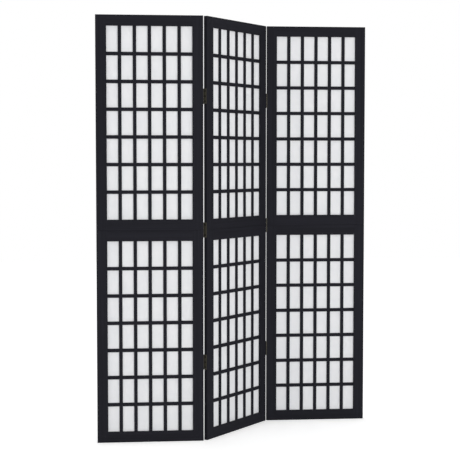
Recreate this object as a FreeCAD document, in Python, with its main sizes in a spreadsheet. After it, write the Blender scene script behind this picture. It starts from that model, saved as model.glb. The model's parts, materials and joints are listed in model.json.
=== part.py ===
"""Three-panel shoji folding screen, standing in a zigzag, in millimetres.

Every piece is drawn in the frame of its own panel: X across the panel from its middle,
Y through its thickness from the middle with the front at minus, Z up from the floor.
Its Placement then stands the panel where it is folded: the middle panel turns about the
origin, and the outer panels hang on the pin lines of the two joints.
"""
import FreeCAD, Part
import os
import re
import Sketcher

document = FreeCAD.newDocument("folding_screen")
sizes = document.addObject("Spreadsheet::Sheet", "sizes")

DRIVING_SIZES = (
    ("panel_height", 1700, "panel, floor to top"),
    ("panel_width", 425, "panel, edge to edge"),
    ("panel_thickness", 16, "stiles and rails, front to back"),
    ("fold_angle", 49.7, "turn of the middle panel against the outer ones, degrees"),
    ("stile_width", 43, "upright frame members"),
    ("rail_width", 43, "cross members of a half frame"),
    ("arris", 0.8, "eased edges of the frame"),
    ("tenon_length", 15, "tenon beyond the rail's shoulder"),
    ("tenon_width", 24, "tenon, up and down"),
    ("tenon_thickness", 6, "tenon, front to back"),
    ("tenon_shoulder", 9, "from the rail's outer edge to its tenon"),
    ("joint_play", 0.1, "glue gap beside a tenon, dowel or lattice bar"),
    ("end_gap", 0.5, "glue gap at the blind end of a mortise or hole"),
    ("lattice_recess", 3.5, "lattice front behind the frame's front"),
    ("bar_depth", 5, "lattice bars, front to back"),
    ("upright_width", 13.8, "upright lattice bars"),
    ("crossbar_width", 14, "level lattice bars"),
    ("upright_count", 5, "upright bars in a half frame"),
    ("crossbar_count", 6, "level bars in a half frame"),
    ("bar_arris", 0.4, "eased front edges of the lattice bars"),
    ("bar_seat", 6, "bar end let into the frame"),
    ("rebate_width", 8, "ledge behind the opening that carries the paper"),
    ("paper_thickness", 0.3, "shoji paper"),
    ("dowel_diameter", 8, "dowels across the mid-height joint"),
    ("dowel_length", 40, "dowels across the mid-height joint"),
    ("rail_dowel_spacing", 200, "between the two dowels of the mid rails"),
    ("hinge_rise", 533, "outer hinges above and below mid-height"),
    ("leaf_length", 60, "hinge leaf, up and down"),
    ("leaf_width", 13, "hinge leaf on the stile's edge"),
    ("leaf_thickness", 0.8, "hinge leaf"),
    ("leaf_setback", 0.5, "leaf's edge inside the face beside the barrel"),
    ("leaf_gap", 0.2, "between two shut leaves"),
    ("pin_offset", 2.25, "pin line outside the panel's face"),
    ("pin_diameter", 3, "hinge pin"),
    ("pin_play", 0.05, "between the pin and its knuckles"),
    ("pin_head_diameter", 4.4, "riveted ends of the pin"),
    ("pin_head_height", 0.9, "riveted ends of the pin"),
    ("barrel_diameter", 4.8, "knuckles, outside"),
    ("knuckle_count", 5, "knuckles of both leaves"),
    ("knuckle_gap", 0.3, "between neighbouring knuckles"),
    ("screw_spacing", 20.5, "hinge screws, up and down"),
    ("screw_diameter", 3, "hinge screw's shank"),
    ("screw_head_diameter", 4.6, "hinge screw's countersunk head"),
    ("screw_length", 14, "hinge screw"),
    ("screw_tip", 3, "hinge screw's point"),
    ("screw_sink", 0.1, "screw head below the leaf's face"),
)
for row, (alias, number, meaning) in enumerate(DRIVING_SIZES, start=1):
    sizes.set(f"A{row}", meaning)
    sizes.set(f"B{row}", str(number))
    sizes.setAlias(f"B{row}", alias)
document.recompute()
ALIASES = re.compile(r"\b(" + "|".join(alias for alias, _, _ in DRIVING_SIZES) + r")\b")

# Lengths that follow from the driving sizes, in the frame of a panel.
HALF_HEIGHT = "(panel_height / 2)"
OPENING_HALF_WIDTH = "(panel_width / 2 - stile_width)"
OPENING_HEIGHT = f"({HALF_HEIGHT} - 2 * rail_width)"
PANE_WIDTH = f"((2 * {OPENING_HALF_WIDTH} - upright_count * upright_width) / (upright_count + 1))"
UPRIGHT_PITCH = f"({PANE_WIDTH} + upright_width)"
FIRST_UPRIGHT = f"(-{OPENING_HALF_WIDTH} + {PANE_WIDTH} + upright_width / 2)"
CROSSBAR_PITCH = f"({OPENING_HEIGHT} / (crossbar_count + 1))"
FIRST_CROSSBAR = f"(rail_width + {CROSSBAR_PITCH})"
FRONT = "(-panel_thickness / 2)"
LATTICE_FRONT = f"({FRONT} + lattice_recess)"
LEDGE = f"({LATTICE_FRONT} + bar_depth)"
LEDGE_TO_BACK = f"(panel_thickness / 2 - {LEDGE})"
REBATE_HALF_WIDTH = f"({OPENING_HALF_WIDTH} + rebate_width)"
REBATE_START = "(rail_width - rebate_width)"
PIN_ACROSS = "(panel_width / 2 + leaf_thickness + leaf_gap / 2)"
PIN_THROUGH = "(panel_thickness / 2 + pin_offset)"
SCREW_THROUGH = "(panel_thickness / 2 - leaf_setback - leaf_width / 2)"
KNUCKLE_LENGTH = "((leaf_length - (knuckle_count - 1) * knuckle_gap) / knuckle_count)"
KNUCKLE_PITCH = f"({KNUCKLE_LENGTH} + knuckle_gap)"

HALF_BASE = {"lower": "0", "upper": HALF_HEIGHT}
SIDE_SIGN = {"left": "-1", "right": "1"}

# Where each panel stands: its middle, and how far it has turned about the vertical.
FOLDED_X = f"({PIN_ACROSS} * (1 + cos(fold_angle)) + {PIN_THROUGH} * sin(fold_angle))"
FOLDED_Y = f"({PIN_ACROSS} * sin(fold_angle) + {PIN_THROUGH} * (1 - cos(fold_angle)))"
STANCE = {
    "left_panel": (f"-{FOLDED_X}", f"-{FOLDED_Y}", "0"),
    "middle_panel": ("0", "0", "fold_angle"),
    "right_panel": (FOLDED_X, FOLDED_Y, "0"),
}
# The sides of each panel that carry hinges, with the face beside the barrel:
# 1 is the back, as on the joint that folds backwards, and -1 the front.
HINGED_SIDES = {
    "left_panel": {"right": "1"},
    "middle_panel": {"left": "1", "right": "-1"},
    "right_panel": {"left": "-1"},
}
# Each hinge's middle above the floor, the number of screws in a leaf and the multiple of
# the screw spacing between them: the hinge over the mid-height joint has no middle screw.
HINGE_LEVELS = {
    "lower": (f"({HALF_HEIGHT} - hinge_rise)", 3, 1),
    "middle": (HALF_HEIGHT, 2, 2),
    "upper": (f"({HALF_HEIGHT} + hinge_rise)", 3, 1),
}
nodes = []


def tie(owner, path, words):
    """Binds a property to an expression whose words are aliases of the sheet."""
    owner.setExpression(path, ALIASES.sub(r"sizes.\1", words))


def number_of(words):
    """The present value of an expression, for a first drawing that the ties then hold."""
    found = sizes.evalExpression(ALIASES.sub(r"sizes.\1", words))
    return float(getattr(found, "Value", found))


def stand(piece, panel):
    """Places a piece with its panel, turned about the vertical."""
    across, through, turn = STANCE[panel]
    upright = FreeCAD.Rotation(FreeCAD.Vector(0, 0, 1), number_of("fold_angle"))
    piece.Placement = FreeCAD.Placement(FreeCAD.Vector(), upright)
    tie(piece, "Placement.Base.x", across)
    tie(piece, "Placement.Base.y", through)
    tie(piece, "Placement.Rotation.Angle", turn)


def new_body(label):
    body = document.addObject("PartDesign::Body", label)
    body.Label = label
    return body


def node_body(label, panel):
    """A body that is a named piece of the screen."""
    body = new_body(label)
    stand(body, panel)
    nodes.append(body)
    return body


def node_group(label, panel, bodies):
    """Like pieces of one panel under one name."""
    group = document.addObject("Part::Compound", label)
    group.Label = label
    group.Links = bodies
    stand(group, panel)
    nodes.append(group)


def origin_feature(body, role):
    return next(feature for feature in body.Origin.OriginFeatures if feature.Role == role)


def sketch_on(body, role, name, offset):
    """A sketch on one of the body's own planes, moved along its normal by an expression."""
    sketch = body.newObject("Sketcher::SketchObject", name + "_sketch")
    sketch.AttachmentSupport = [(origin_feature(body, role), "")]
    sketch.MapMode = "FlatFace"
    tie(sketch, "AttachmentOffset.Base.z", offset)
    return sketch


def hold_point(sketch, line, end, across, up):
    """Ties one end or centre of a sketch element to its place from the sketch's origin."""
    for kind, words in (("DistanceX", across), ("DistanceY", up)):
        held = sketch.addConstraint(Sketcher.Constraint(kind, -1, 1, line, end, number_of(words)))
        tie(sketch, f"Constraints[{held}]", words)


def polygon(sketch, corners):
    """A closed outline, each corner an (across, up) pair of expressions."""
    first = sketch.GeometryCount
    points = [FreeCAD.Vector(number_of(across), number_of(up), 0) for across, up in corners]
    last = len(points) - 1
    for here in range(len(points)):
        following = 0 if here == last else here + 1
        sketch.addGeometry(Part.LineSegment(points[here], points[following]), False)
    for here in range(len(points)):
        following = 0 if here == last else here + 1
        sketch.addConstraint(Sketcher.Constraint("Coincident", first + here, 2, first + following, 1))
    for here, (across, up) in enumerate(corners):
        hold_point(sketch, first + here, 1, across, up)


def rectangle(sketch, left, low, right, high):
    polygon(sketch, ((left, low), (right, low), (right, high), (left, high)))


def circle(sketch, across, up, radius):
    centre = FreeCAD.Vector(number_of(across), number_of(up), 0)
    drawn = sketch.addGeometry(Part.Circle(centre, FreeCAD.Vector(0, 0, 1), number_of(radius)), False)
    hold_point(sketch, drawn, 3, across, up)
    held = sketch.addConstraint(Sketcher.Constraint("Radius", drawn, number_of(radius)))
    tie(sketch, f"Constraints[{held}]", radius)


def extrude(body, kind, name, sketch, length, reverse):
    """A Pad or a Pocket of a sketch, to one side of it."""
    feature = body.newObject("PartDesign::" + kind, name)
    feature.Profile = sketch
    feature.Reversed = reverse
    tie(feature, "Length", length)
    body.Tip = feature
    return feature


def pad_back(body, name, rectangles, front, depth):
    """Rectangles seen from the front, made solid from a plane towards the back."""
    sketch = sketch_on(body, "XZ_Plane", name, f"-({front})")
    for left, low, right, high in rectangles:
        rectangle(sketch, left, low, right, high)
    return extrude(body, "Pad", name, sketch, depth, True)


def cut_back(body, name, rectangles, front, depth):
    """Rectangles seen from the front, cut away from a plane towards the back."""
    sketch = sketch_on(body, "XZ_Plane", name, f"-({front})")
    for left, low, right, high in rectangles:
        rectangle(sketch, left, low, right, high)
    return extrude(body, "Pocket", name, sketch, depth, False)


def box_up(body, name, corners, base, height):
    """A rectangle seen from above, made solid from a level upwards."""
    sketch = sketch_on(body, "XY_Plane", name, base)
    rectangle(sketch, *corners)
    return extrude(body, "Pad", name, sketch, height, False)


def pad_up(body, name, circles, base, height):
    """Round bars that rise from a level, each an (across, through, radius) triple."""
    sketch = sketch_on(body, "XY_Plane", name, base)
    for across, through, radius in circles:
        circle(sketch, across, through, radius)
    return extrude(body, "Pad", name, sketch, height, False)


def repeat(body, name, features, role, count, spacing):
    """Copies of features along one of the body's axes, a fixed step apart."""
    pattern = body.newObject("PartDesign::LinearPattern", name)
    pattern.Originals = features
    pattern.Direction = (origin_feature(body, role), [""])
    pattern.Mode = "Spacing"
    tie(pattern, "Offset", spacing)
    tie(pattern, "Occurrences", count)
    body.Tip = pattern
    return pattern


def repeat_all(body, name, role, count, spacing):
    """Copies of the whole body so far, each a piece by itself."""
    pattern = repeat(body, name, [], role, count, spacing)
    pattern.TransformMode = "Whole shape"


def ease_edges(body, name, width, wanted):
    """Chamfers the edges of the last feature that pass a test on their two ends."""
    document.recompute()
    base = body.Tip
    names = []
    for place, edge in enumerate(base.Shape.Edges, start=1):
        ends = [vertex.Point for vertex in edge.Vertexes]
        if wanted(ends):
            names.append(f"Edge{place}")
    chamfer = body.newObject("PartDesign::Chamfer", name)
    chamfer.Base = (base, names)
    tie(chamfer, "Size", width)
    body.Tip = chamfer


def near(first, second):
    return abs(first - second) < 1e-4


def stile(panel, half, side):
    """An upright member of a half frame, with its mortises, rebate, housings and holes."""
    body = node_body(f"{panel}_{half}_{side}_stile", panel)
    sign, base = SIDE_SIGN[side], HALF_BASE[half]
    inner = f"{sign} * {OPENING_HALF_WIDTH}"
    outer = f"{sign} * panel_width / 2"
    foot, head = base, f"{base} + {HALF_HEIGHT}"
    pad_back(body, "bar", [(inner, foot, outer, head)], FRONT, "panel_thickness")
    joint_face = number_of(inner)
    ease_edges(body, "eased_edges", "arris",
               lambda ends: not all(near(point.x, joint_face) for point in ends))
    mortise_end = f"{inner} + {sign} * (tenon_length + end_gap)"
    near_tenon = "(tenon_shoulder - joint_play)"
    far_tenon = "(tenon_shoulder + tenon_width + joint_play)"
    cut_back(body, "mortises",
             [(inner, f"{foot} + {near_tenon}", mortise_end, f"{foot} + {far_tenon}"),
              (inner, f"{head} - {far_tenon}", mortise_end, f"{head} - {near_tenon}")],
             "-(tenon_thickness / 2 + joint_play)", "(tenon_thickness + 2 * joint_play)")
    cut_back(body, "rebate",
             [(inner, f"{foot} + {REBATE_START}", f"{sign} * {REBATE_HALF_WIDTH}",
               f"{head} - {REBATE_START}")],
             LEDGE, LEDGE_TO_BACK)
    housing = cut_back(
        body, "housing",
        [(inner, f"{foot} + {FIRST_CROSSBAR} - crossbar_width / 2 - joint_play",
          f"{inner} + {sign} * (bar_seat + joint_play)",
          f"{foot} + {FIRST_CROSSBAR} + crossbar_width / 2 + joint_play")],
        LATTICE_FRONT, "bar_depth")
    repeat(body, "housings", [housing], "Z_Axis", "crossbar_count", CROSSBAR_PITCH)
    dowel_holes(body, half, [f"{sign} * (panel_width - stile_width) / 2"])
    if side in HINGED_SIDES[panel]:
        screw_holes(body, half, side, HINGED_SIDES[panel][side])


def dowel_holes(body, half, places):
    """Blind holes in the mid-height joint, down into the lower half or up into the upper."""
    sketch = sketch_on(body, "XY_Plane", "dowel_holes", HALF_HEIGHT)
    for across in places:
        circle(sketch, across, "0", "dowel_diameter / 2 + joint_play")
    extrude(body, "Pocket", "dowel_holes", sketch, "dowel_length / 2 + end_gap", half == "upper")


def screw_levels(level):
    """Heights of the screws of the hinge at a level."""
    middle, count, step = HINGE_LEVELS[level]
    start = (1 - count) / 2
    return [f"{middle} + ({(start + place) * step}) * screw_spacing" for place in range(count)]


def screw_holes(body, half, side, barrel_face):
    """Pilot holes for the hinge screws that enter this stile's outer edge."""
    outer = f"{SIDE_SIGN[side]} * panel_width / 2"
    sketch = sketch_on(body, "YZ_Plane", "screw_holes", outer)
    seam_screws = screw_levels("middle")
    levels = screw_levels(half) + [seam_screws[0] if half == "lower" else seam_screws[-1]]
    for level in levels:
        circle(sketch, f"{barrel_face} * {SCREW_THROUGH}", level, "screw_diameter / 2 + joint_play")
    extrude(body, "Pocket", "screw_holes", sketch, "screw_length - leaf_thickness + end_gap",
            side == "left")


def rail(panel, name, half, outer, inward):
    """A cross member of a half frame; inward is 1 where its opening is above it."""
    body = node_body(f"{panel}_{name}", panel)
    inner = f"{outer} + {inward} * rail_width"
    half_width = OPENING_HALF_WIDTH
    pad_back(body, "bar", [(f"-{half_width}", outer, half_width, inner)], FRONT, "panel_thickness")
    outer_edge = number_of(outer)
    ease_edges(body, "eased_edges", "arris",
               lambda ends: all(near(point.z, outer_edge) for point in ends)
               and not near(ends[0].x, ends[-1].x))
    tenon_half = f"({half_width} + tenon_length)"
    tenon_low = f"{outer} + {inward} * tenon_shoulder"
    pad_back(body, "tenons",
             [(f"-{tenon_half}", tenon_low, tenon_half, f"{tenon_low} + {inward} * tenon_width")],
             "-tenon_thickness / 2", "tenon_thickness")
    cut_back(body, "rebate",
             [(f"-{half_width}", inner, half_width, f"{inner} - {inward} * rebate_width")],
             LEDGE, LEDGE_TO_BACK)
    housing = cut_back(
        body, "housing",
        [(f"{FIRST_UPRIGHT} - upright_width / 2 - joint_play", inner,
          f"{FIRST_UPRIGHT} + upright_width / 2 + joint_play",
          f"{inner} - {inward} * (bar_seat + joint_play)")],
        LATTICE_FRONT, "bar_depth")
    repeat(body, "housings", [housing], "X_Axis", "upright_count", UPRIGHT_PITCH)
    if name.endswith("mid_rail"):
        dowel_holes(body, half, ["-rail_dowel_spacing / 2", "rail_dowel_spacing / 2"])


def front_edge_of_bar(along):
    """A test for the long front edges of a bar that lies along x or z."""
    front = number_of(LATTICE_FRONT)

    def wanted(ends):
        return (all(near(point.y, front) for point in ends)
                and not near(getattr(ends[0], along), getattr(ends[-1], along)))
    return wanted


def lattice_uprights(panel):
    """Upright bars of both halves, halved behind for the level bars."""
    body = node_body(f"{panel}_lattice_uprights", panel)
    left, right = f"{FIRST_UPRIGHT} - upright_width / 2", f"{FIRST_UPRIGHT} + upright_width / 2"
    bars, laps = [], []
    for base in HALF_BASE.values():
        foot = f"{base} + rail_width - bar_seat"
        head = f"{base} + {HALF_HEIGHT} - rail_width + bar_seat"
        bars.append((left, foot, right, head))
        crossing = f"{base} + {FIRST_CROSSBAR}"
        laps.append((f"-{OPENING_HALF_WIDTH}", f"{crossing} - crossbar_width / 2 - joint_play",
                     OPENING_HALF_WIDTH, f"{crossing} + crossbar_width / 2 + joint_play"))
    pad_back(body, "bars", bars, LATTICE_FRONT, "bar_depth")
    ease_edges(body, "eased_edges", "bar_arris", front_edge_of_bar("z"))
    repeat_all(body, "uprights", "X_Axis", "upright_count", UPRIGHT_PITCH)
    lap = cut_back(body, "lap", laps, f"{LATTICE_FRONT} + bar_depth / 2", "bar_depth / 2")
    repeat(body, "laps", [lap], "Z_Axis", "crossbar_count", CROSSBAR_PITCH)


def lattice_crossbars(panel):
    """Level bars of both halves, halved in front for the uprights."""
    body = node_body(f"{panel}_lattice_crossbars", panel)
    reach = f"({OPENING_HALF_WIDTH} + bar_seat)"
    bars = []
    for base in HALF_BASE.values():
        middle = f"{base} + {FIRST_CROSSBAR}"
        bars.append((f"-{reach}", f"{middle} - crossbar_width / 2",
                     reach, f"{middle} + crossbar_width / 2"))
    pad_back(body, "bars", bars, LATTICE_FRONT, "bar_depth")
    ease_edges(body, "eased_edges", "bar_arris", front_edge_of_bar("x"))
    repeat_all(body, "crossbars", "Z_Axis", "crossbar_count", CROSSBAR_PITCH)
    lap = cut_back(body, "lap",
                   [(f"{FIRST_UPRIGHT} - upright_width / 2 - joint_play", "0",
                     f"{FIRST_UPRIGHT} + upright_width / 2 + joint_play", "panel_height")],
                   LATTICE_FRONT, "bar_depth / 2 + joint_play")
    repeat(body, "laps", [lap], "X_Axis", "upright_count", UPRIGHT_PITCH)


def paper(panel, half):
    """One sheet of shoji paper, glued to the lattice's back and to the ledge round it."""
    body = node_body(f"{panel}_{half}_paper", panel)
    reach, base = f"({REBATE_HALF_WIDTH} - joint_play)", HALF_BASE[half]
    low = f"{base} + {REBATE_START} + joint_play"
    high = f"{base} + {HALF_HEIGHT} - {REBATE_START} - joint_play"
    pad_back(body, "sheet", [(f"-{reach}", low, reach, high)], LEDGE, "paper_thickness")


def seam_dowels(panel):
    """Dowels that join the lower half frame to the upper one."""
    body = node_body(f"{panel}_seam_dowels", panel)
    stile_middle = "(panel_width - stile_width) / 2"
    places = (f"-{stile_middle}", "-rail_dowel_spacing / 2", "rail_dowel_spacing / 2", stile_middle)
    circles = [(across, "0", "dowel_diameter / 2") for across in places]
    pad_up(body, "dowels", circles, f"{HALF_HEIGHT} - dowel_length / 2", "dowel_length")
    ease_edges(body, "eased_ends", "arris", lambda ends: len(ends) == 1)


def hinge_leaf(panel, side, joint, level):
    """A hinge leaf with its knuckles, screwed to the stile's outer edge."""
    body = node_body(f"{joint}_{level}_hinge_{panel}_leaf", panel)
    sign, face = SIDE_SIGN[side], HINGED_SIDES[panel][side]
    bottom = f"({HINGE_LEVELS[level][0]} - leaf_length / 2)"
    top = f"({bottom} + leaf_length)"
    edge, proud = f"{sign} * panel_width / 2", f"{sign} * (panel_width / 2 + leaf_thickness)"
    shut_edge = f"{face} * (panel_thickness / 2 - leaf_setback)"
    pin = (f"{sign} * {PIN_ACROSS}", f"{face} * {PIN_THROUGH}")
    box_up(body, "plate", (edge, shut_edge, proud, f"{shut_edge} - {face} * leaf_width"),
           bottom, "leaf_length")
    holds_pin = panel == "middle_panel"
    start = bottom if holds_pin else f"({bottom} + {KNUCKLE_PITCH})"
    count = "(knuckle_count + 1) / 2" if holds_pin else "(knuckle_count - 1) / 2"
    strap = box_up(body, "strap", (edge, pin[1], proud, f"{shut_edge} - {face} * leaf_thickness"),
                   start, KNUCKLE_LENGTH)
    knuckle = pad_up(body, "knuckle", [(*pin, "barrel_diameter / 2")], start, KNUCKLE_LENGTH)
    repeat(body, "knuckles", [strap, knuckle], "Z_Axis", count, f"2 * {KNUCKLE_PITCH}")
    bore = sketch_on(body, "XY_Plane", "bore", top)
    circle(bore, *pin, "pin_diameter / 2 + pin_play")
    extrude(body, "Pocket", "bore", bore, "leaf_length", False)
    countersinks(body, sign, face, level)


def turned_profile(body, kind, name, face, level, corners):
    """A profile turned about the line of the lowest screw of a hinge."""
    sketch = sketch_on(body, "XZ_Plane", name, f"-({face} * {SCREW_THROUGH})")
    tie(sketch, "AttachmentOffset.Base.y", screw_levels(level)[0])
    polygon(sketch, corners)
    feature = body.newObject("PartDesign::" + kind, name)
    feature.Profile = sketch
    feature.ReferenceAxis = (sketch, ["H_Axis"])
    feature.Angle = 360
    body.Tip = feature
    _, count, step = HINGE_LEVELS[level]
    repeat(body, name + "s", [feature], "Z_Axis", str(count), f"{step} * screw_spacing")


def countersinks(body, sign, face, level):
    """Countersunk holes through a leaf."""
    outside = f"{sign} * (panel_width / 2 + leaf_thickness)"
    inside = f"{sign} * panel_width / 2"
    shank = "screw_diameter / 2 + joint_play"
    cone_end = f"{outside} - {sign} * ((screw_head_diameter - screw_diameter) / 2 + screw_sink)"
    turned_profile(body, "Groove", "countersink", face, level,
                   ((outside, "0"),
                    (outside, "screw_head_diameter / 2 + joint_play + screw_sink"),
                    (cone_end, shank),
                    (f"{inside} - {sign} * leaf_thickness", shank),
                    (f"{inside} - {sign} * leaf_thickness", "0")))


def hinge_screws(panel):
    """All countersunk screws that hold leaves to one panel."""
    columns = []
    for side, face in HINGED_SIDES[panel].items():
        sign = SIDE_SIGN[side]
        top = f"({sign} * (panel_width / 2 + leaf_thickness - screw_sink))"
        neck = f"{top} - {sign} * (screw_head_diameter - screw_diameter) / 2"
        for level in HINGE_LEVELS:
            body = new_body(f"{panel}_{side}_{level}_screws")
            turned_profile(body, "Revolution", "screw", face, level,
                           ((top, "0"), (top, "screw_head_diameter / 2"),
                            (neck, "screw_diameter / 2"),
                            (f"{top} - {sign} * (screw_length - screw_tip)", "screw_diameter / 2"),
                            (f"{top} - {sign} * screw_length", "0")))
            columns.append(body)
    node_group(f"{panel}_hinge_screws", panel, columns)


def hinge_pin(side, joint, level):
    """The pin of one hinge, riveted over at both ends, carried with the middle panel."""
    body = node_body(f"{joint}_{level}_hinge_pin", "middle_panel")
    across = f"{SIDE_SIGN[side]} * {PIN_ACROSS}"
    through = f"{HINGED_SIDES['middle_panel'][side]} * {PIN_THROUGH}"
    foot = f"({HINGE_LEVELS[level][0]} - leaf_length / 2 - joint_play)"
    head = f"({foot} + leaf_length + 2 * joint_play)"
    pad_up(body, "shank", [(across, through, "pin_diameter / 2")], foot,
           "leaf_length + 2 * joint_play")
    for name, base in (("foot", f"{foot} - pin_head_height"), ("head", head)):
        pad_up(body, name, [(across, through, "pin_head_diameter / 2")], base, "pin_head_height")
    ends = (number_of(f"{foot} - pin_head_height"), number_of(f"{head} + pin_head_height"))
    ease_edges(body, "domed_ends", "pin_head_height / 2",
               lambda points: any(near(points[0].z, end) for end in ends)
               and len(points) == 1)


for panel in STANCE:
    for half in HALF_BASE:
        for side in SIDE_SIGN:
            stile(panel, half, side)
        paper(panel, half)
    rail(panel, "bottom_rail", "lower", "0", "1")
    rail(panel, "lower_mid_rail", "lower", HALF_HEIGHT, "-1")
    rail(panel, "upper_mid_rail", "upper", HALF_HEIGHT, "1")
    rail(panel, "top_rail", "upper", "panel_height", "-1")
    lattice_uprights(panel)
    lattice_crossbars(panel)
    seam_dowels(panel)
    hinge_screws(panel)

for joint, side, outer_panel, outer_side in (("left_joint", "left", "left_panel", "right"),
                                             ("right_joint", "right", "right_panel", "left")):
    for level in HINGE_LEVELS:
        hinge_leaf("middle_panel", side, joint, level)
        hinge_leaf(outer_panel, outer_side, joint, level)
        hinge_pin(side, joint, level)

document.recompute()
for thing in document.Objects:
    if "Invalid" in thing.State or "Error" in thing.State:
        raise RuntimeError(f"{thing.Label} could not be built: {thing.State}")
for node in nodes:
    if node.Shape.isNull() or not node.Shape.isValid():
        raise RuntimeError(f"{node.Label} has no valid shape")
os.makedirs("parts", exist_ok=True)
for node in nodes:
    node.Shape.exportStep(f"parts/{node.Label}.step")
print(len(nodes), "pieces and groups written")
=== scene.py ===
"""A three-panel shoji folding screen, black-painted wood and white paper, in metres."""

import json
import math

import bpy
import numpy as np
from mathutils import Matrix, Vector


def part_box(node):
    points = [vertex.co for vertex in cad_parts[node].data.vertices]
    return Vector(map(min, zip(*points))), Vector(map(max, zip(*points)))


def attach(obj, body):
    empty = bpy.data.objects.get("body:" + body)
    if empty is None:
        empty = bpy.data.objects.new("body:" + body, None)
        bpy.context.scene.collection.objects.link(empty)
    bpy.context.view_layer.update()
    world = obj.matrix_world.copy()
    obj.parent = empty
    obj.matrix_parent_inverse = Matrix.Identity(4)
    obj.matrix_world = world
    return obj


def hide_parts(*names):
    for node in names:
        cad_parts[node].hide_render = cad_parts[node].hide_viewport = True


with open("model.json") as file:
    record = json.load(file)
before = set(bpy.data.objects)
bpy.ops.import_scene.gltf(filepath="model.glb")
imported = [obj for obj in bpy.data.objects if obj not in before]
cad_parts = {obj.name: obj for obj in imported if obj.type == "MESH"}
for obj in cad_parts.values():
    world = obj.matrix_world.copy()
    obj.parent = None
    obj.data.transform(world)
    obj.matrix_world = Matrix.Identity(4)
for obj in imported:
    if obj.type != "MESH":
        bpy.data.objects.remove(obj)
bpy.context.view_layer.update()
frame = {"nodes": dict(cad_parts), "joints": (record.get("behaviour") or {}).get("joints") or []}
scene = bpy.context.scene


# ---------------------------------------------------------------- camera
# The photographer stands 4.65 m in front of the screen, a little to its left, with the
# camera at chest height. The lens is a short telephoto. The camera looks down by three
# degrees, and a slight shift does the rest of the framing.
CAMERA_PLACE = (-0.4255, -4.6504, 1.1248)
TURN_TO_THE_RIGHT = math.radians(4.916)
LOOK_DOWN = math.radians(2.991)
SENSOR_MM = 36.0
LENS_MM = 88.11
SHIFT_DOWN = 0.0217

camera_data = bpy.data.cameras.new("studio_camera")
camera_data.sensor_width = SENSOR_MM
camera_data.lens = LENS_MM
camera_data.shift_y = -SHIFT_DOWN
camera = bpy.data.objects.new("studio_camera", camera_data)
camera.location = CAMERA_PLACE
camera.rotation_euler = (math.pi / 2 - LOOK_DOWN, 0.0, -TURN_TO_THE_RIGHT)
scene.collection.objects.link(camera)
scene.camera = camera
scene.view_settings.view_transform = "Standard"


# ---------------------------------------------------------------- studio floor and light
# A seamless white studio: a matt white floor, white walls all round that give even light, and
# one large soft lamp to the right of the camera at knee height, which gives the panels' feet
# the light that the shaded floor there doesn't, and the turned middle panel a little less.
FLOOR_SIZE = 16.0
FLOOR_COLOUR = "#fafafa"
FLOOR_LIFT = 0.36
ROOM_LIGHT = 0.78
SOFT_LAMP_PLACE = (1.3, -5.2, 0.6)
SOFT_LAMP_AIM = (0.1, 0.0, 0.5)
SOFT_LAMP_SIDE = 2.4
SOFT_LAMP_WATTS = 147.0


def linear(hex_colour):
    """An sRGB hex colour as linear red, green, blue and an alpha of 1."""
    shares = np.array([int(hex_colour[at:at + 2], 16) for at in (1, 3, 5)]) / 255
    straight = np.where(shares <= 0.04045, shares / 12.92, ((shares + 0.055) / 1.055) ** 2.4)
    return (*straight.tolist(), 1.0)


def add_node(tree, kind, inputs=(), **settings):
    """One shader node. inputs holds (socket, number, colour or output) pairs."""
    made = tree.nodes.new("ShaderNode" + kind)
    for name, value in settings.items():
        setattr(made, name, value)
    for socket, value in inputs:
        if isinstance(value, bpy.types.NodeSocket):
            tree.links.new(value, made.inputs[socket])
        else:
            made.inputs[socket].default_value = value
    return made


def shown_to_eye(tree):
    """1 for what the camera sees, straight or in a gloss or through glass, and 0 for light."""
    path = add_node(tree, "LightPath")
    shown = path.outputs["Is Camera Ray"]
    for ray in ("Is Glossy Ray", "Is Transmission Ray"):
        shown = add_node(tree, "Math", ((0, shown), (1, path.outputs[ray])),
                         operation="MAXIMUM").outputs[0]
    return shown


world = bpy.data.worlds.new("white_studio")
world.use_nodes = True
world.node_tree.nodes.clear()
walls = add_node(world.node_tree, "MapRange", (
    ("Value", shown_to_eye(world.node_tree)), ("To Min", ROOM_LIGHT), ("To Max", 1.0)))
glow = add_node(world.node_tree, "Background", (
    ("Color", linear("#ffffff")), ("Strength", walls.outputs[0])))
add_node(world.node_tree, "OutputWorld", (("Surface", glow.outputs[0]),))
scene.world = world

# Matt white floor paint. The lift is only for the eye, so that the floor meets the white
# walls without a line and still shows the screen's soft shadow.
floor_paint = bpy.data.materials.new("matt_white_floor_paint")
floor_paint.use_nodes = True
paint_tree = floor_paint.node_tree
paint_tree.nodes.clear()
lift = add_node(paint_tree, "Math", ((0, shown_to_eye(paint_tree)), (1, FLOOR_LIFT)),
                operation="MULTIPLY")
matt = add_node(paint_tree, "BsdfDiffuse", (("Color", linear(FLOOR_COLOUR)),))
lifted = add_node(paint_tree, "Emission", (
    ("Color", linear("#ffffff")), ("Strength", lift.outputs[0])))
both = add_node(paint_tree, "AddShader", ((0, matt.outputs[0]), (1, lifted.outputs[0])))
add_node(paint_tree, "OutputMaterial", (("Surface", both.outputs[0]),))

floor_mesh = bpy.data.meshes.new("studio_floor")
floor_corners = np.array(((-1, -1), (1, -1), (1, 1), (-1, 1))) * FLOOR_SIZE / 2
floor_mesh.from_pydata([(x, y, 0.0) for x, y in floor_corners.tolist()], [], [(0, 1, 2, 3)])
floor_mesh.materials.append(floor_paint)
floor = bpy.data.objects.new("studio_floor", floor_mesh)
scene.collection.objects.link(floor)

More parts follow.
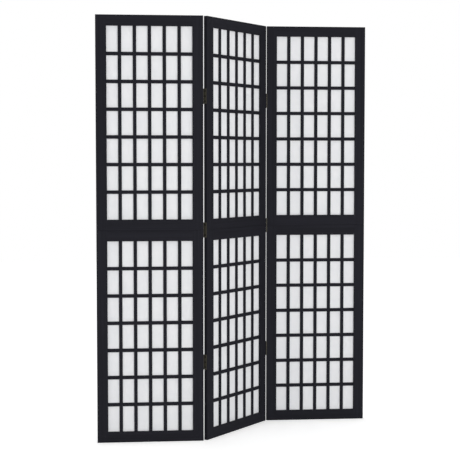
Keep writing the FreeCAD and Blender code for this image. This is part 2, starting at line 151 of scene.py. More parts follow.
lamp_data = bpy.data.lights.new("soft_lamp", "AREA")
lamp_data.shape = "SQUARE"
lamp_data.size = SOFT_LAMP_SIDE
lamp_data.energy = SOFT_LAMP_WATTS
lamp = bpy.data.objects.new("soft_lamp", lamp_data)
lamp.location = SOFT_LAMP_PLACE
lamp_ray = Vector(SOFT_LAMP_AIM) - Vector(SOFT_LAMP_PLACE)
lamp.rotation_euler = lamp_ray.to_track_quat("-Z", "Y").to_euler()
scene.collection.objects.link(lamp)


# ---------------------------------------------------------------- stiles and rails
# Planed softwood boards, 43 by 16 mm, tenoned together and sprayed satin black after the
# frames were glued up. The thin paint lets the growth rings and pores show as a faint
# relief, along each board: upright on the stiles and level on the rails.
PANELS = ("left_panel", "middle_panel", "right_panel")
RAILS = ("bottom_rail", "lower_mid_rail", "upper_mid_rail", "top_rail")
FOLD = -math.radians(frame["joints"][0]["range_deg"][0])
TURN = {"left_panel": 0.0, "middle_panel": FOLD, "right_panel": 0.0}
PAINT_DARK = "#1a1a1f"
PAINT_LIGHT = "#1f1f25"
RING_WIDTH = 0.009
RING_LENGTH = 0.7
PORE_WIDTH = 0.0014
PORE_LENGTH = 0.035
PEEL_WIDTH = 0.003
PORE_SHARE = 0.4
PEEL_SHARE = 0.15
PAINT_RELIEF = 0.00005
NOISE_LOW = 0.3
NOISE_HIGH = 0.7
LOWER_BOARDS_START = (0.0, 0.0, 0.0)
UPPER_BOARDS_START = (0.31, 0.17, 0.0)


def along_grain(upright, width, length):
    """The size of a grain pattern's cell, long the way the board runs."""
    return (width, width, length) if upright else (length, width, width)


def new_finish(name):
    """A material with an empty node tree."""
    finish = bpy.data.materials.new(name)
    finish.use_nodes = True
    finish.node_tree.nodes.clear()
    return finish


def speckle(tree, panel, start, cell, detail=2.0, stir=0.0):
    """Noise laid in a panel's own directions, with a cell size in metres. Its middle part,
    in which it spends most of its time, is stretched to run from 0 to 1."""
    place = add_node(tree, "TexCoord").outputs["Object"]
    laid = add_node(tree, "Mapping", (
        ("Vector", place), ("Location", start), ("Rotation", (0.0, 0.0, TURN[panel])),
        ("Scale", cell)), vector_type="TEXTURE")
    noise = add_node(tree, "TexNoise", (
        ("Vector", laid.outputs[0]), ("Scale", 1.0), ("Detail", detail),
        ("Distortion", stir)))
    return add_node(tree, "MapRange", (
        ("Value", noise.outputs["Fac"]), ("From Min", NOISE_LOW),
        ("From Max", NOISE_HIGH))).outputs[0]


def black_paint_on_softwood(name, panel, upright, start=(0.0, 0.0, 0.0)):
    """Satin black furniture paint, sprayed thin: a dielectric of IOR 1.5 with matting
    powder in it, so that its gloss is weak and broad. The pores are really 0.3 mm wide
    and are drawn wider, because they would not show."""
    finish = new_finish(name)
    tree = finish.node_tree
    rings = speckle(tree, panel, start, along_grain(upright, RING_WIDTH, RING_LENGTH),
                    detail=3.0, stir=0.6)
    pores = speckle(tree, panel, start, along_grain(upright, PORE_WIDTH, PORE_LENGTH))
    peel = speckle(tree, panel, start, (PEEL_WIDTH,) * 3)
    grain = add_node(tree, "Mix", (("Factor", PORE_SHARE), (2, rings), (3, pores)))
    relief = add_node(tree, "Mix", (("Factor", PEEL_SHARE), (2, grain.outputs[0]), (3, peel)))
    bump = add_node(tree, "Bump", (
        ("Strength", 0.6), ("Distance", PAINT_RELIEF), ("Height", relief.outputs[0])))
    tone = add_node(tree, "Mix", (
        ("Factor", rings), (6, linear(PAINT_DARK)), (7, linear(PAINT_LIGHT))), data_type="RGBA")
    gloss = add_node(tree, "MapRange", (("Value", pores), ("To Min", 0.6), ("To Max", 0.72)))
    paint = add_node(tree, "BsdfPrincipled", (
        ("Base Color", tone.outputs[2]), ("Roughness", gloss.outputs[0]), ("IOR", 1.5),
        ("Specular IOR Level", 0.05), ("Normal", bump.outputs[0])))
    add_node(tree, "OutputMaterial", (("Surface", paint.outputs[0]),))
    return finish


def dress(node_name, finish):
    """Gives a piece of the construction model its finish."""
    for held in frame["nodes"][node_name].material_slots:
        held.material = finish


for panel in PANELS:
    for half, start in (("lower", LOWER_BOARDS_START), ("upper", UPPER_BOARDS_START)):
        boards = black_paint_on_softwood(f"black_paint_{panel}_{half}_stiles", panel, True, start)
        for side in ("left", "right"):
            dress(f"{panel}_{half}_{side}_stile", boards)
    level_boards = black_paint_on_softwood(f"black_paint_{panel}_rails", panel, False)
    for rail in RAILS:
        dress(f"{panel}_{rail}", level_boards)


# ---------------------------------------------------------------- lattice
# Bars of the same softwood, 14 mm wide and 5 mm deep, halved over each other at the
# crossings and let into the frame at their ends. They are painted with the frame, so
# they have its black, and their grain starts elsewhere because it is other wood.
LATTICE_START = (0.5, 0.2, 0.4)

for panel in PANELS:
    for part, upright in (("lattice_uprights", True), ("lattice_crossbars", False)):
        bars = black_paint_on_softwood(f"black_paint_{panel}_{part}", panel, upright, LATTICE_START)
        dress(f"{panel}_{part}", bars)


# ---------------------------------------------------------------- paper
# White shoji paper, 0.3 mm thick, of long plant fibres. One sheet to a half frame is
# pasted to the back of the lattice and to the ledge round the opening, and it was
# shrunk tight, so it bows by a fraction of a millimetre in each pane.
UPRIGHT_BARS = 5
UPRIGHT_WIDTH = 0.0138
LEVEL_BARS = 6
LEVEL_WIDTH = 0.014
PANE_STEPS_ACROSS = 8
PANE_STEPS_UP = 14
PASTE = 0.00005
BOW = 0.00035
COCKLE = 0.00012
COCKLE_LENGTH = 0.026
COCKLE_SLANT = 0.6
BOW_START = 5.0
BOW_BY_COLUMN = 2.3
BOW_BY_ROW = 4.1
PAPER_SHADE = "#e8e9eb"
PAPER_LIGHT = "#eeeeef"
PAPER_SEE_THROUGH = 0.35
CLOUD_WIDTH = 0.03
FIBRE_WIDTH = 0.0016
FIBRE_LENGTH = 0.02
FIBRE_SHARE = 0.45
PAPER_RELIEF = 0.00003


def pane_lines(sheet, opening, middles, bar_width, steps):
    """Places of the grid's lines along one side of a sheet, from one edge of it over the
    panes between the bars to the other, with the slack at each: 0 where the paper is
    pasted down, and sin squared of the way across where it spans a pane."""
    starts = np.concatenate((opening[:1], middles + bar_width / 2))
    ends = np.concatenate((middles - bar_width / 2, opening[1:]))
    way = np.linspace(0, 1, steps + 1)
    panes = starts[:, None] + (ends - starts)[:, None] * way
    slack = np.tile(np.sin(np.pi * way) ** 2, (len(starts), 1))
    number = np.repeat(np.arange(len(starts)), steps + 1)
    return (np.concatenate((sheet[:1], panes.ravel(), sheet[1:])),
            np.concatenate(([0], slack.ravel(), [0])),
            np.concatenate(([0], number, [len(middles)])))


def quads_of(rows, columns):
    """The four corners of each cell of a grid of points numbered row by row."""
    first = np.arange(rows - 1)[:, None] * columns + np.arange(columns - 1)
    cells = np.stack((first, first + 1, first + columns + 1, first + columns), axis=-1)
    return cells.reshape(-1, 4)


def in_panel(points, panel):
    """Points from a panel's own frame, with its middle at the origin, to where it stands:
    turned by the panel's angle about the vertical, and moved to its middle."""
    low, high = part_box(f"{panel}_bottom_rail")
    sine, cosine = math.sin(TURN[panel]), math.cos(TURN[panel])
    across, through, up = points[..., 0], points[..., 1], points[..., 2]
    return np.stack((across * cosine - through * sine + (low.x + high.x) / 2,
                     across * sine + through * cosine + (low.y + high.y) / 2, up), axis=-1)


def new_piece(name, points, faces, finish):
    """A smooth mesh object at the origin."""
    mesh = bpy.data.meshes.new(name)
    mesh.from_pydata(points.reshape(-1, 3).tolist(), [], faces)
    mesh.polygons.foreach_set("use_smooth", np.ones(len(mesh.polygons), bool))
    mesh.materials.append(finish)
    mesh.update()
    piece = bpy.data.objects.new(name, mesh)
    scene.collection.objects.link(piece)
    return piece


def shoji_paper(name, panel):
    """Bleached kozo-type paper: matt, a third of the light goes through it, and clouds and
    long crossing fibres show. The fibres are drawn wider than their 0.05 mm."""
    finish = new_finish(name)
    tree = finish.node_tree
    start = (0.0, 0.0, 0.0)
    clouds = speckle(tree, panel, start, (CLOUD_WIDTH,) * 3, detail=4.0)
    rising = speckle(tree, panel, start, (FIBRE_WIDTH, 1.0, FIBRE_LENGTH), stir=1.5)
    lying = speckle(tree, panel, start, (FIBRE_LENGTH, 1.0, FIBRE_WIDTH), stir=1.5)
    fibres = add_node(tree, "Mix", (("Factor", 0.5), (2, rising), (3, lying)))
    pulp = add_node(tree, "Mix", (("Factor", FIBRE_SHARE), (2, clouds), (3, fibres.outputs[0])))
    colour = add_node(tree, "Mix", (
        ("Factor", pulp.outputs[0]), (6, linear(PAPER_SHADE)), (7, linear(PAPER_LIGHT))),
                      data_type="RGBA")
    bump = add_node(tree, "Bump", (
        ("Strength", 0.5), ("Distance", PAPER_RELIEF), ("Height", fibres.outputs[0])))
    front = add_node(tree, "BsdfPrincipled", (
        ("Base Color", colour.outputs[2]), ("Roughness", 0.92), ("IOR", 1.45),
        ("Specular IOR Level", 0.25), ("Normal", bump.outputs[0])))
    through = add_node(tree, "BsdfTranslucent", (
        ("Color", colour.outputs[2]), ("Normal", bump.outputs[0])))
    both = add_node(tree, "MixShader", (
        ("Fac", PAPER_SEE_THROUGH), (1, front.outputs[0]), (2, through.outputs[0])))
    add_node(tree, "OutputMaterial", (("Surface", both.outputs[0]),))
    return finish


def paper_sheet(panel, half, finish):
    """A sheet over (across, up) whose depth is the paste's thickness, plus the slack across
    times the slack up times a bow that differs from pane to pane and a slanting cockle."""
    low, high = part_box(f"left_panel_{half}_paper")
    stile_low, stile_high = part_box(f"left_panel_{half}_left_stile")
    middle = (low.x + high.x) / 2
    opening_half = middle - stile_high.x
    rails = RAILS[:2] if half == "lower" else RAILS[2:]
    pane = (2 * opening_half - UPRIGHT_BARS * UPRIGHT_WIDTH) / (UPRIGHT_BARS + 1)
    uprights = (np.arange(1, UPRIGHT_BARS + 1) * (pane + UPRIGHT_WIDTH)
                - opening_half - UPRIGHT_WIDTH / 2)
    across, slack_across, column = pane_lines(
        (low.x - middle, high.x - middle), (-opening_half, opening_half),
        uprights, UPRIGHT_WIDTH, PANE_STEPS_ACROSS)
    sill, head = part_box(f"left_panel_{rails[0]}")[1].z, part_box(f"left_panel_{rails[1]}")[0].z
    crossbars = np.linspace(sill, head, LEVEL_BARS + 2)[1:-1]
    up, slack_up, row = pane_lines(
        (low.z, high.z), (sill, head), crossbars, LEVEL_WIDTH, PANE_STEPS_UP)
    x, z = np.meshgrid(across, up)
    phase = BOW_START + 2.0 * TURN[panel] + PANELS.index(panel)
    bow = BOW * np.sin(BOW_BY_COLUMN * column[None, :] + BOW_BY_ROW * row[:, None] + phase)
    cockle = COCKLE * np.sin(2 * np.pi * (x + COCKLE_SLANT * z) / COCKLE_LENGTH + phase)
    slack = slack_up[:, None] * slack_across[None, :]
    front = low.y - (stile_low.y + stile_high.y) / 2 + PASTE
    depth = front + slack * (np.abs(bow) + cockle)
    points = in_panel(np.stack((x, depth, z), axis=-1), panel)
    sheet = new_piece(f"{panel}_{half}_paper_sheet", points, quads_of(*x.shape).tolist(), finish)
    thickness = sheet.modifiers.new("thickness", "SOLIDIFY")
    thickness.thickness = high.y - low.y - 2 * PASTE
    thickness.offset = -1.0
    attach(sheet, panel)
    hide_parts(f"{panel}_{half}_paper")


for panel in PANELS:
    sheets_finish = shoji_paper(f"shoji_paper_{panel}", panel)
    for half in ("lower", "upper"):
        paper_sheet(panel, half, sheets_finish)


# ---------------------------------------------------------------- hinge leaves
# Six small butt hinges, stamped from 0.8 mm steel strip and plated antique bronze. A leaf's
# plate is screwed to a stile's edge, and its tongues are rolled round the pin into knuckles,
# with a slit where the strip comes back to its root.
HINGED_SIDES = {"left_panel": ((1, 1, "left_joint"),),
                "middle_panel": ((-1, 1, "left_joint"), (1, -1, "right_joint")),
                "right_panel": ((-1, -1, "right_joint"),)}
SCREW_STEPS = {"lower_hinge": (-1, 0, 1), "middle_hinge": (-1, 1), "upper_hinge": (-1, 0, 1)}
SCREW_SPACING = 0.0205
SCREW_HEAD = 0.0023
LEAF_WIDTH = 0.013
LEAF_THICKNESS = 0.0008
LEAF_SETBACK = 0.0005
LEAF_GAP = 0.0002
LEAF_CORNER = 0.0012
LEAF_ARRIS = 0.00012
HOLE_PLAY = 0.00015
CELL_SIDE = 14
FACE_RINGS = (0, 0.2, 0.45, 0.75, 1)
PIN_OFFSET = 0.00225
KNUCKLE_RADIUS = 0.0024
KNUCKLES = 5
KNUCKLE_GAP = 0.0003
ROOT_BEND = 0.0007
ROLL_END = math.radians(178)
BEND_POINTS = 7
ROLL_POINTS = 43
SHARP_EDGE = math.radians(30)
BRONZE_DARK = "#24231d"
BRONZE_RUBBED = "#514e44"
# The next three set the painted shade on the leaves' plates: the ramp round each screw hole, which
# is also the ramp of wear at a knuckle's ends; the band along the plate by the barrel; and how dark
# that band is made.
WEAR_AND_SHADE_RAMP = 0.0025
ROOT_SHADE = 0.005
ROOT_SHADE_STRENGTH = 0.9
BARREL_WEAR = 0.6
WEAR_UP_KNUCKLE = (0.2, 0.4, 1, 1, 0.4, 0.2)
RUB_WIDTH = 0.004
BLOTCH_SHARE = 0.3
BARE_FROM = 0.2
BARE_FULLY = 0.77
SCRATCH_WIDTH = 0.0008
SCRATCH_LENGTH = 0.016
BRONZE_RELIEF = 0.000012

rail_low, rail_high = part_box("left_panel_bottom_rail")
HALF_WIDTH = (rail_low.x + rail_high.x) / 2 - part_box("left_panel_lower_left_stile")[0].x
HALF_DEPTH = (rail_high.y - rail_low.y) / 2
LEAF_MIDDLE = HALF_DEPTH - LEAF_SETBACK - LEAF_WIDTH / 2


def antique_bronze(name, dark, rubbed):
    """Plated steel under a chemical patina, which is a matt oxide. It stays brown-black in the
    hollows. Where hands and the other leaf rub it, the metal shows through in blotches with fine
    scratches along the strip, which are really 0.1 mm wide and are drawn wider, because they would
    not show. An attribute of the mesh says how far it is rubbed; on the leaves' plates that
    attribute is also held down near the barrel and round the screws, so the dark patina there is
    painted shade."""
    finish = new_finish(name)
    tree = finish.node_tree
    wear_and_shade = add_node(tree, "Attribute", attribute_name="wear_and_shade").outputs["Fac"]
    start = (0.0, 0.0, 0.0)
    blotches = speckle(tree, "left_panel", start, (RUB_WIDTH,) * 3, detail=4.0)
    rubbing_with_shade = add_node(tree, "Mix", (("Factor", BLOTCH_SHARE), (2, wear_and_shade), (3, blotches)))
    bared_with_shade = add_node(tree, "MapRange", (
        ("Value", rubbing_with_shade.outputs[0]), ("From Min", BARE_FROM),
        ("From Max", BARE_FULLY))).outputs[0]
    scratches = speckle(tree, "left_panel", start,
                        (SCRATCH_WIDTH, SCRATCH_WIDTH, SCRATCH_LENGTH))
    bump = add_node(tree, "Bump", (
        ("Strength", 0.4), ("Distance", BRONZE_RELIEF), ("Height", scratches)))
    tone = add_node(tree, "Mix", (
        ("Factor", bared_with_shade), (6, linear(dark)), (7, linear(rubbed))), data_type="RGBA")
    shine = add_node(tree, "MapRange", (("Value", bared_with_shade), ("To Min", 0.1), ("To Max", 0.6)))
    gloss = add_node(tree, "MapRange", (
        ("Value", scratches), ("To Min", 0.42), ("To Max", 0.58)))
    metal = add_node(tree, "BsdfPrincipled", (
        ("Base Color", tone.outputs[2]), ("Metallic", shine.outputs[0]),
        ("Roughness", gloss.outputs[0]), ("Specular IOR Level", 0.3),
        ("Normal", bump.outputs[0])))
    add_node(tree, "OutputMaterial", (("Surface", metal.outputs[0]),))
    return finish


def note_wear_and_shade(piece, share):
    """Keeps at each point how far its patina is worn off, from 0 to 1, with any painted shade held
    down in it.
    """
    wear_and_shade = piece.data.attributes.new("wear_and_shade", "FLOAT", "POINT")
    wear_and_shade.data.foreach_set("value", share.astype(np.float32))


def facing_out(points, faces):
    """The quads of a closed skin, turned over if the volume that they hold is negative: a
    sixth of the sum of the triple products of their halves' corners."""
    a, b, c, d = (points[faces[:, corner]] for corner in range(4))
    volume = (a * np.cross(b, c)).sum() + (a * np.cross(c, d)).sum()
    return faces if volume > 0 else faces[:, ::-1]


def drawn_in(points, half_size, inset):
    """Points drawn in to a rounded rectangle: what lies beyond the corners' centres comes
    no further from them than the corner radius less the inset."""
    core = half_size - LEAF_CORNER
    over = np.maximum(np.abs(points) - core, 0)
    reach = np.maximum(np.hypot(over[:, 0], over[:, 1]), 1e-9)
    over = over * np.minimum(1, (LEAF_CORNER - inset) / reach)[:, None]
    return np.sign(points) * (np.minimum(np.abs(points), core) + over)


def pierced_plate(half_length, steps):
    """The plate, as cells end to end, one round each screw: rings of points that run from
    the cell's border under the plate to the hole, up its cone, over the face to the border
    again and down the outside. On a side the border's points lie at the sine of an even
    angle. Points are (along the leaf, towards the barrel, out of the stile)."""
    half_size = np.array((half_length, LEAF_WIDTH / 2))
    middles = np.array(steps) * SCREW_SPACING
    ends = np.concatenate(([-half_length], (middles[1:] + middles[:-1]) / 2, [half_length]))
    way = np.sin(np.linspace(-np.pi / 2, np.pi / 2, CELL_SIDE + 1))[:-1]
    ones = np.ones_like(way)
    square = np.stack((np.concatenate((way, ones, -way, -ones)),
                       np.concatenate((-ones, way, ones, -way))), axis=-1)
    around = 4 * CELL_SIDE
    all_points, all_faces, count = [], [], 0
    for cell, middle in enumerate(middles):
        low, high = ends[cell], ends[cell + 1]
        border = square * ((high - low) / 2, LEAF_WIDTH / 2) + ((low + high) / 2, 0)
        screw = np.array((middle, 0))
        spoke = (border - screw) / np.linalg.norm(border - screw, axis=1)[:, None]
        rim = screw + spoke * (SCREW_HEAD + 2 * HOLE_PLAY)
        outline, edge = drawn_in(border, half_size, 0), drawn_in(border, half_size, LEAF_ARRIS)
        rings = [(outline, 0), (screw + spoke * (SCREW_HEAD + HOLE_PLAY - LEAF_THICKNESS), 0),
                 (screw + spoke * (SCREW_HEAD + HOLE_PLAY), LEAF_THICKNESS - HOLE_PLAY)]
        rings += [(rim + share * (edge - rim), LEAF_THICKNESS) for share in FACE_RINGS]
        rings += [(outline, LEAF_THICKNESS - LEAF_ARRIS), (outline, 0)]
        all_points += [np.column_stack((ring, np.full(around, level))) for ring, level in rings]
        outer = np.ones(around, bool)
        outer[CELL_SIDE:2 * CELL_SIDE] = cell == len(middles) - 1
        outer[3 * CELL_SIDE:] = cell == 0
        for step in range(len(rings) - 1):
            corner = np.arange(around)[outer if step >= len(rings) - 3 else slice(None)]
            following = (corner + 1) % around
            first, second = count + step * around, count + (step + 1) * around
            all_faces.append(np.stack((first + corner, second + corner, second + following,
                                       first + following), axis=-1))
        count += len(rings) * around
    faces = np.concatenate(all_faces)
    points, merged = np.unique(np.round(np.concatenate(all_points), 8), axis=0,
                               return_inverse=True)
    kept, faces = np.unique(merged.reshape(-1)[faces], return_inverse=True)
    points, faces = points[kept], faces.reshape(-1, 4)
    # Near the holes and along the edge by the barrel the share is held down, so the patina's dark
    # there is painted shade of the countersinks and of the slit at the knuckles' root, not wear.
    off_screw = np.abs(points[:, :1] - middles).min(axis=1)
    clear = np.hypot(off_screw, points[:, 1]) - SCREW_HEAD - 2 * HOLE_PLAY
    root = np.clip((points[:, 1] - LEAF_WIDTH / 2) / ROOT_SHADE + 1, 0, 1)
    wear_and_shade = np.clip(clear / WEAR_AND_SHADE_RAMP, 0, 1) * (1 - ROOT_SHADE_STRENGTH * root) * (points[:, 2] > 0)
    return points, faces, wear_and_shade


def rolled_knuckle(foot, head):
    """A length of strip, rolled: its two sides are a straight root, a bend the other way
    and a circle round the pin, each half a thickness to one side of the strip's middle
    line. They are carried up from foot to head, drawn thinner at both ends. Points are
    (through the stile towards the barrel, out of the stile, up)."""
    pin = np.array((HALF_DEPTH + PIN_OFFSET, LEAF_THICKNESS + LEAF_GAP / 2))
    roll = KNUCKLE_RADIUS - LEAF_THICKNESS / 2
    bend_out = LEAF_THICKNESS / 2 - ROOT_BEND
    bend_through = pin[0] - math.sqrt((roll + ROOT_BEND) ** 2 - (pin[1] - bend_out) ** 2)
    bend = np.array((bend_through, bend_out))
    start = math.atan2(bend[1] - pin[1], bend[0] - pin[0])
    bent = np.linspace(np.pi / 2, start + np.pi, BEND_POINTS)
    rolled = np.linspace(start, ROLL_END, ROLL_POINTS + 1)[1:]
    bent_spoke = np.stack((np.cos(bent), np.sin(bent)), axis=-1)
    rolled_spoke = np.stack((np.cos(rolled), np.sin(rolled)), axis=-1)
    root = (HALF_DEPTH - LEAF_SETBACK - LEAF_THICKNESS, LEAF_THICKNESS / 2)
    levels = np.array((foot, foot + LEAF_ARRIS, foot + WEAR_AND_SHADE_RAMP,
                       head - WEAR_AND_SHADE_RAMP, head - LEAF_ARRIS, head))
    loops = []
    for level in levels:
        thick = LEAF_THICKNESS / 2 - (LEAF_ARRIS if level in (foot, head) else 0)
        upper, lower = (np.concatenate((
            [(root[0], root[1] + side)], bend + (ROOT_BEND + side) * bent_spoke,
            pin + (roll - side) * rolled_spoke)) for side in (thick, -thick))
        loop = np.concatenate((upper, lower[::-1]))
        loops.append(np.column_stack((loop, np.full(len(loop), level))))
    points = np.stack(loops)
    corner = np.arange(points.shape[1])
    following = np.roll(corner, -1)
    first = np.arange(len(levels) - 1)[:, None] * len(corner)
    walls = np.stack((first + corner, first + following, first + len(corner) + following,
                      first + len(corner) + corner), axis=-1).reshape(-1, 4)
    half = corner[:len(corner) // 2 - 1]
    head_cap = np.stack((half, half + 1, corner[-1] - half - 1, corner[-1] - half), axis=-1)
    faces = np.concatenate((walls, head_cap[:, ::-1], head_cap + first[-1] + len(corner)))
    turn = np.concatenate((np.full(1 + BEND_POINTS, np.pi), rolled))
    outside = BARREL_WEAR * np.concatenate((np.zeros(len(turn)), (1 + np.cos(turn[::-1])) / 2))
    return points.reshape(-1, 3), faces, np.outer(WEAR_UP_KNUCKLE, outside).ravel()


def hinge_leaf(panel, sign, barrel_face, joint, hinge):
    """The plate and its knuckles: the first, third and fifth are the middle panel's."""
    low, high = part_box(f"{joint}_{hinge}_{panel}_leaf")
    plate, plate_faces, plate_wear_and_shade = pierced_plate((high.z - low.z) / 2, SCREW_STEPS[hinge])
    laid = np.stack((sign * (HALF_WIDTH + plate[:, 2]), barrel_face * (LEAF_MIDDLE + plate[:, 1]),
                     (low.z + high.z) / 2 + plate[:, 0]), axis=-1)
    all_points, all_faces, all_wear_and_shade = [laid], [facing_out(laid, plate_faces)], [plate_wear_and_shade]
    count = len(laid)
    pitch = (high.z - low.z + KNUCKLE_GAP) / KNUCKLES
    for number in range(0 if panel == "middle_panel" else 1, KNUCKLES, 2):
        foot = low.z + number * pitch
        roll, faces, wear_and_shade = rolled_knuckle(foot, foot + pitch - KNUCKLE_GAP)
        laid = np.stack((sign * (HALF_WIDTH + roll[:, 1]), barrel_face * roll[:, 0], roll[:, 2]),
                        axis=-1)
        all_points.append(laid)
        all_faces.append(facing_out(laid, faces) + count)
        all_wear_and_shade.append(wear_and_shade)
        count += len(laid)
    leaf = new_piece(f"{joint}_{hinge}_{panel}_stamped_leaf",
                     in_panel(np.concatenate(all_points), panel),
                     np.concatenate(all_faces).tolist(), plated_strip)
    leaf.data.set_sharp_from_angle(angle=SHARP_EDGE)
    note_wear_and_shade(leaf, np.concatenate(all_wear_and_shade))
    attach(leaf, panel)
    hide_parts(f"{joint}_{hinge}_{panel}_leaf")


plated_strip = antique_bronze("antique_bronze_strip", BRONZE_DARK, BRONZE_RUBBED)
for panel, sides in HINGED_SIDES.items():
    for sign, barrel_face, joint in sides:
        for hinge in SCREW_STEPS:
            hinge_leaf(panel, sign, barrel_face, joint, hinge)


# ---------------------------------------------------------------- hinge pins
# A 3 mm steel rod through the knuckles of each hinge, riveted over into a low dome at
# both ends so that it can't drop out. It has the hinge's antique bronze plating, and
# stays with the middle panel.
PIN_AROUND = 32
DOME_RINGS = 6
DOME_START = 0.12
DOME_SHARE = 0.41
PIN_ROD_SHARE = 3.0 / 4.4
RIVET_WEAR = 0.9
ROD_WEAR = 0.1


def skin_round(radius, level):
    """A closed skin round an axis: corner c of ring r lies at radius[r, c] from the axis
    and at level[r, c] along it, and a fan of triangles closes each end."""
    rings, around = radius.shape
    angle = np.linspace(0, 2 * np.pi, around, endpoint=False)
    points = np.stack((radius * np.cos(angle), radius * np.sin(angle), level), axis=-1)
    ends = np.array(((0, 0, level[0].mean()), (0, 0, level[-1].mean())))
    corner = np.arange(around)
    following = np.roll(corner, -1)
    first = np.arange(rings - 1)[:, None] * around
    walls = np.stack((first + corner, first + following, first + around + following,
                      first + around + corner), axis=-1).reshape(-1, 4)
    last = (rings - 1) * around
    foot, head = rings * around, rings * around + 1
    foot_fan = np.stack((np.full(around, foot), following, corner), axis=-1)
    head_fan = np.stack((np.full(around, head), last + corner, last + following), axis=-1)
    return np.concatenate((points.reshape(-1, 3), ends)), walls, np.concatenate((foot_fan, head_fan))


def riveted_pin(joint, hinge):
    """A turned shape: a quarter ellipse at each end, radius R cos t and height H sin t, and
    between them the straight rod."""
    low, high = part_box(f"{joint}_{hinge}_pin")
    head = (high.x - low.x) / 2
    rod = head * PIN_ROD_SHARE
    dome = head * DOME_SHARE
    turn = np.linspace(DOME_START, np.pi / 2, DOME_RINGS)
    foot_radius, foot_level = head * np.sin(turn), low.z + dome * (1 - np.cos(turn))
    radius = np.concatenate((foot_radius, [rod, rod], foot_radius[::-1]))
    level = np.concatenate((foot_level, [low.z + dome, high.z - dome],
                            high.z + low.z - foot_level[::-1]))
    ones = np.ones((1, PIN_AROUND))
    points, walls, fans = skin_round(radius[:, None] * ones, level[:, None] * ones)
    points += np.array(((low.x + high.x) / 2, (low.y + high.y) / 2, 0))
    pin = new_piece(f"{joint}_{hinge}_riveted_pin", points, walls.tolist() + fans.tolist(),
                    plated_strip)
    wear_and_shade = np.where(radius > rod, RIVET_WEAR, ROD_WEAR)
    note_wear_and_shade(pin, np.concatenate((np.repeat(wear_and_shade, PIN_AROUND), (RIVET_WEAR, RIVET_WEAR))))
    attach(pin, "middle_panel")
    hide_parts(f"{joint}_{hinge}_pin")


for joint in ("left_joint", "right_joint"):
    for hinge in SCREW_STEPS:
        riveted_pin(joint, hinge)


# ---------------------------------------------------------------- hinge screws
# Countersunk steel wood screws, 3 by 14 mm, with a cross recess, driven flush into the leaves. Three
# hold a leaf, but only two the leaf over the mid-height joint, where a middle screw would split the
# seam. Their colours are darker than the leaves', which paints the shade in the cross recess and in
# the ring round each head.
SCREW_NECK = 0.0015
SCREW_LENGTH = 0.014
SCREW_TIP = 0.003
SCREW_AROUND = 32
THREAD_PITCH = 0.0013
THREAD_DEPTH = 0.00035
RECESS_DEPTH = 0.0011
RECESS_REACH = 0.0015
RECESS_SLOT = 0.00042
RECESS_SLOPE = 0.35
RECESS_CURVE = 0.6
RECESS_EDGE = 0.00002
FACE_STEPS = 11
FACE_MIDDLE = 0.0002
RIM_DROP = 0.00003
CONE_STEPS = (0.99, 0.5, 0.0)
SHANK_STEPS = 52
SHANK_START = 0.0004
SCREW_SINK = 0.0001
TURN_BY_STEP = 0.9
TURN_BY_HEIGHT = 3.0
HEAD_WEAR = 0.6
SHANK_WEAR = 0.1
# Both screw colours are darkened as painted shade of the recess and of the ring round the head.
SCREW_DARK_WITH_PAINTED_SHADE = "#14120e"
SCREW_RUBBED_WITH_PAINTED_SHADE = "#2a2720"


def cross_recess(radius, angle):
    """How far the driver's cross sinks the head: the full depth in the middle, sloping up
    to nothing at its reach, inside two slots at right angles."""
    off_slot = np.minimum(np.abs(radius * np.sin(angle)), np.abs(radius * np.cos(angle)))
    in_slot = np.clip((RECESS_SLOT - off_slot) / (RECESS_SLOPE * RECESS_SLOT), 0, 1)
    return RECESS_DEPTH * in_slot * np.clip(1 - radius / RECESS_REACH, 0, 1) ** RECESS_CURVE


def screw_skin():
    """A screw along -Z with its head's face at 0: rings across the face, sunk by the
    cross, then the countersink's cone, the threaded shank, whose radius rises and falls
    with the level minus the angle's share of the pitch, and the point."""
    angle = np.linspace(0, 2 * np.pi, SCREW_AROUND, endpoint=False)[None, :]
    face = np.linspace(FACE_MIDDLE, SCREW_HEAD, FACE_STEPS)[:, None] * np.ones_like(angle)
    face_level = -cross_recess(face, angle)
    cone = np.array(CONE_STEPS)[:, None]
    cone_radius = SCREW_NECK + (SCREW_HEAD - SCREW_NECK) * cone * np.ones_like(angle)
    cone_level = (cone_radius - SCREW_HEAD) - RIM_DROP
    shank_level = np.linspace(cone_level.min() - SHANK_START, -SCREW_LENGTH, SHANK_STEPS)[:, None]
    taper = np.clip((shank_level + SCREW_LENGTH) / SCREW_TIP, 0.02, 1)
    wave = (shank_level / THREAD_PITCH - angle / (2 * np.pi)) % 1
    thread = THREAD_DEPTH * np.abs(2 * wave - 1)
    shank_radius = (SCREW_NECK - thread) * taper
    radius = np.concatenate((face, cone_radius, shank_radius))
    level = np.concatenate((face_level, cone_level, shank_level * np.ones_like(angle)))
    return skin_round(radius[::-1], level[::-1])


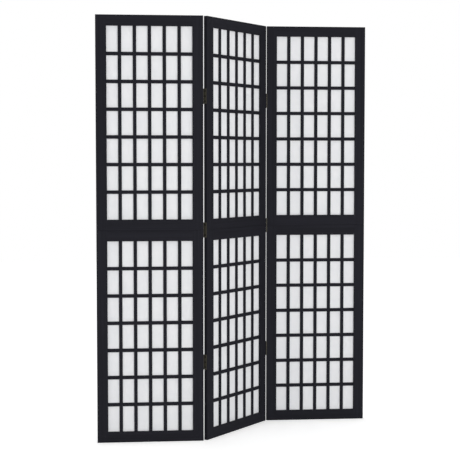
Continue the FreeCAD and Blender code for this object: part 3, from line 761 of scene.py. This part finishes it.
def hinge_screws(panel, finish):
    """All the screws of one panel, each turned so that its head faces out of the stile."""
    points, walls, fans = screw_skin()
    all_points, all_walls, all_fans = [], [], []
    for sign, barrel_face, joint in HINGED_SIDES[panel]:
        through = barrel_face * LEAF_MIDDLE
        for hinge, steps in SCREW_STEPS.items():
            leaf_low, leaf_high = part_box(f"{joint}_{hinge}_{panel}_leaf")
            for step in steps:
                centre = (leaf_low.z + leaf_high.z) / 2 + step * SCREW_SPACING
                outer = HALF_WIDTH + LEAF_THICKNESS - SCREW_SINK
                turn = TURN_BY_STEP * step + TURN_BY_HEIGHT * centre
                spun = np.stack((
                    points[:, 0] * math.cos(turn) - points[:, 1] * math.sin(turn),
                    points[:, 0] * math.sin(turn) + points[:, 1] * math.cos(turn)), axis=-1)
                driven = np.stack((sign * (outer + points[:, 2]), through + sign * spun[:, 0],
                                   centre + spun[:, 1]), axis=-1)
                count = len(all_points) * len(points)
                all_points.append(in_panel(driven, panel))
                all_walls.append(walls + count)
                all_fans.append(fans + count)
    faces = np.concatenate(all_walls).tolist() + np.concatenate(all_fans).tolist()
    screws = new_piece(f"{panel}_cross_head_screws", np.concatenate(all_points), faces, finish)
    wear_and_shade = np.where(points[:, 2] > -RECESS_EDGE, HEAD_WEAR, SHANK_WEAR)
    note_wear_and_shade(screws, np.tile(wear_and_shade, len(all_points)))
    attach(screws, panel)
    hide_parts(f"{panel}_hinge_screws")


screw_bronze_with_painted_shade = antique_bronze("antique_bronze_screws_painted_shade", SCREW_DARK_WITH_PAINTED_SHADE, SCREW_RUBBED_WITH_PAINTED_SHADE)
for panel in PANELS:
    hinge_screws(panel, screw_bronze_with_painted_shade)


# ---------------------------------------------------------------- dowels in the seam
# Beech dowels, 8 mm thick, glued across the joint between the lower and the upper half
# of each panel. They are hidden in the wood and left bare.
BEECH_DARK = "#b98a5e"
BEECH_LIGHT = "#d3a97c"
BEECH_RING = 0.0022
BEECH_RING_LENGTH = 0.2
BEECH_FLECK = 0.0006
BEECH_FLECK_LENGTH = 0.004
BEECH_FLECK_SHARE = 0.4

for panel in PANELS:
    bare_beech = new_finish(f"bare_beech_{panel}")
    tree = bare_beech.node_tree
    start = (0.0, 0.0, 0.0)
    figure = speckle(tree, panel, start, (BEECH_RING, BEECH_RING, BEECH_RING_LENGTH),
                     detail=3.0, stir=0.3)
    flecks = speckle(tree, panel, start, (BEECH_FLECK, BEECH_FLECK, BEECH_FLECK_LENGTH))
    grain = add_node(tree, "Mix", (("Factor", BEECH_FLECK_SHARE), (2, figure), (3, flecks)))
    tone = add_node(tree, "Mix", (
        ("Factor", grain.outputs[0]), (6, linear(BEECH_DARK)), (7, linear(BEECH_LIGHT))),
                    data_type="RGBA")
    gloss = add_node(tree, "MapRange", (("Value", flecks), ("To Min", 0.55), ("To Max", 0.7)))
    wood = add_node(tree, "BsdfPrincipled", (
        ("Base Color", tone.outputs[2]), ("Roughness", gloss.outputs[0]), ("IOR", 1.5)))
    add_node(tree, "OutputMaterial", (("Surface", wood.outputs[0]),))
    dress(f"{panel}_seam_dowels", bare_beech)
